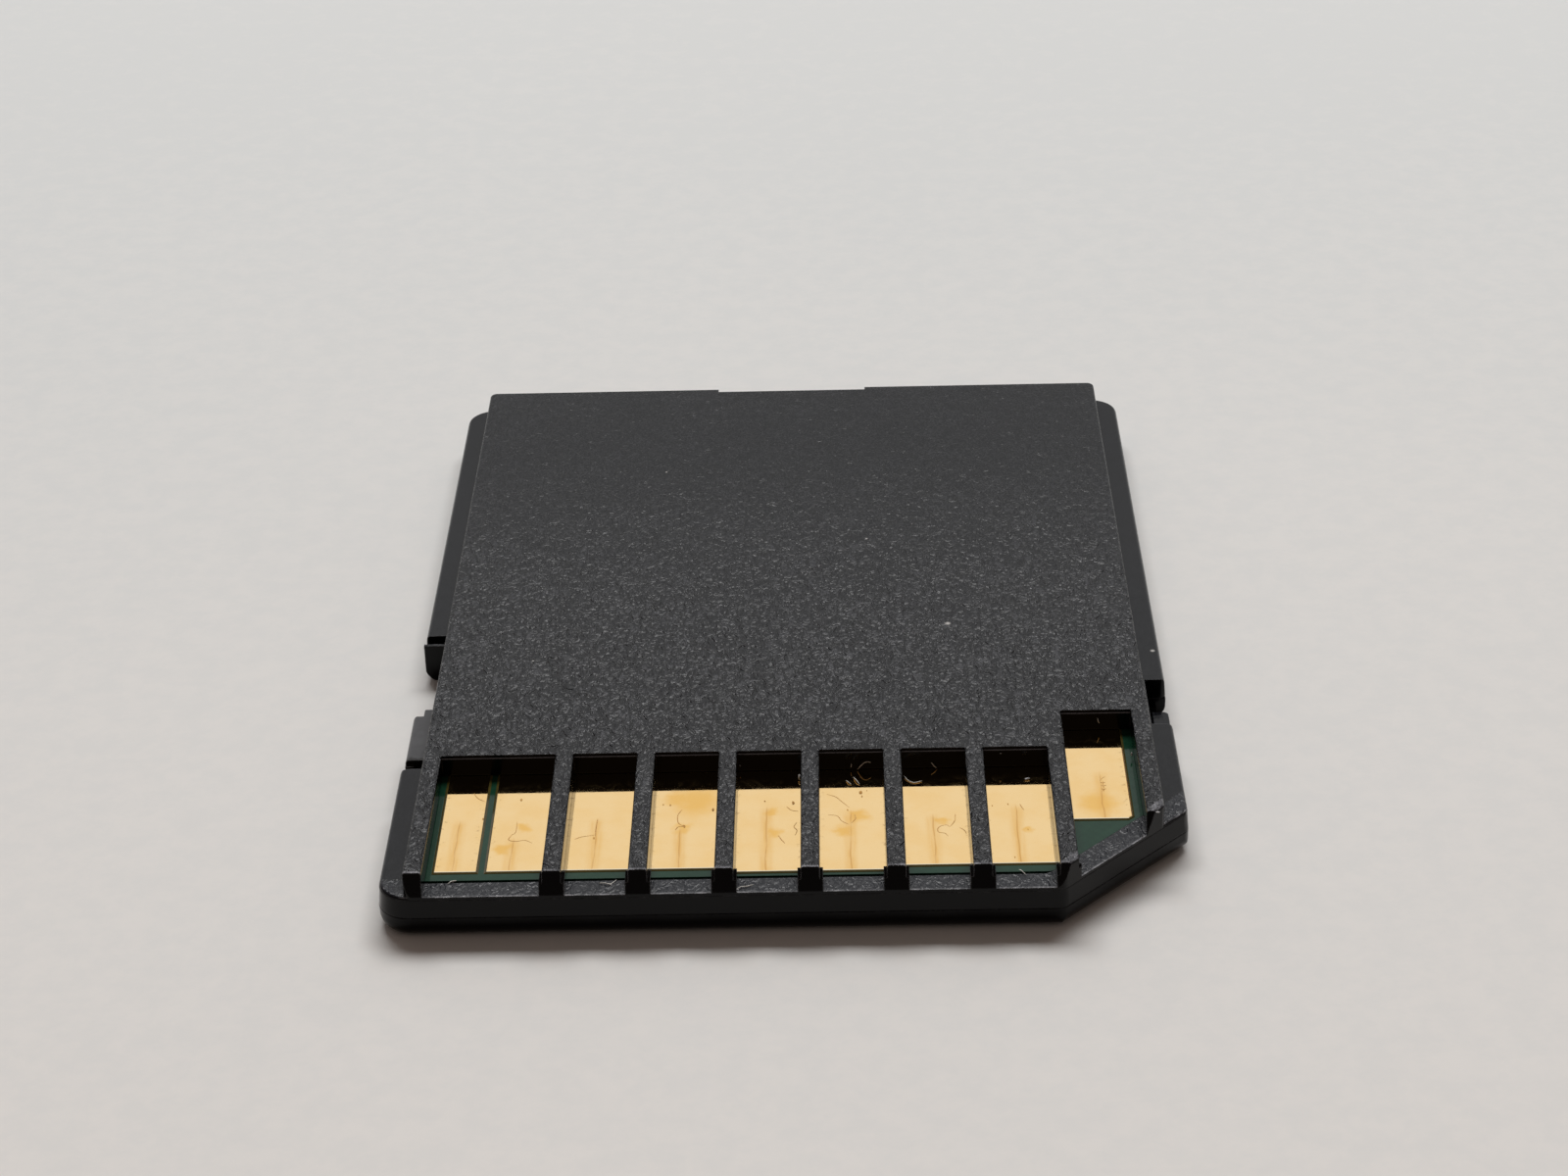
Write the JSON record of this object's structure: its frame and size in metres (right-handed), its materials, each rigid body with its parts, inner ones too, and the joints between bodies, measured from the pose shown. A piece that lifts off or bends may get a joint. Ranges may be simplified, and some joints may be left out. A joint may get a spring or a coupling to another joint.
{
  "type": "memory card",
  "caption": "Full size memory card, contact side up, with windows over its gold contacts, a cut corner and a sliding write protect tab.",
  "frame": {"origin": "middle of the label side, on the plane that the card rests on", "axes": "+X across the card, towards the cut corner; +Y from the contact edge to the rear; +Z from the label side to the contact side"},
  "size_m": [0.024, 0.032, 0.0021],
  "materials": {
    "cover_plastic": "charcoal, fine spark eroded grain",
    "slider_plastic": "grey, smooth",
    "solder_mask": "green, glossy",
    "gold_plating": "pale gold, glossy, with fine wear streaks",
    "package_resin": "black, fine matt",
    "tinned_leads": "satin",
    "capacitor_body": "tan, satin",
    "resistor_body": "black, satin"
  },
  "bodies": {
    "card": {"contact_side_cover": "cover_plastic", "label_side_cover": "cover_plastic", "circuit_board": "solder_mask", "contact_pad_1": "gold_plating", "contact_pad_2": "gold_plating", "contact_pad_3": "gold_plating", "contact_pad_4": "gold_plating", "contact_pad_5": "gold_plating", "contact_pad_6": "gold_plating", "contact_pad_7": "gold_plating", "contact_pad_8": "gold_plating", "contact_pad_9": "gold_plating", "memory_package": "package_resin", "memory_package_leads": "tinned_leads", "controller_package": "package_resin", "controller_lands": "tinned_leads", "capacitor_1": "capacitor_body", "capacitor_2": "capacitor_body", "capacitor_3": "capacitor_body", "capacitor_4": "capacitor_body", "capacitor_5": "capacitor_body", "capacitor_6": "capacitor_body", "resistor_1": "resistor_body", "resistor_2": "resistor_body", "resistor_3": "resistor_body", "resistor_4": "resistor_body", "resistor_5": "resistor_body", "resistor_6": "resistor_body"},
    "slider": {"write_protect_slider": "slider_plastic"}
  },
  "joints": [
    {"name": "write_protect", "type": "slide", "parent": "card", "child": "slider", "axis": [0, 1, 0], "range_m": [0, 0.004]}
  ]
}
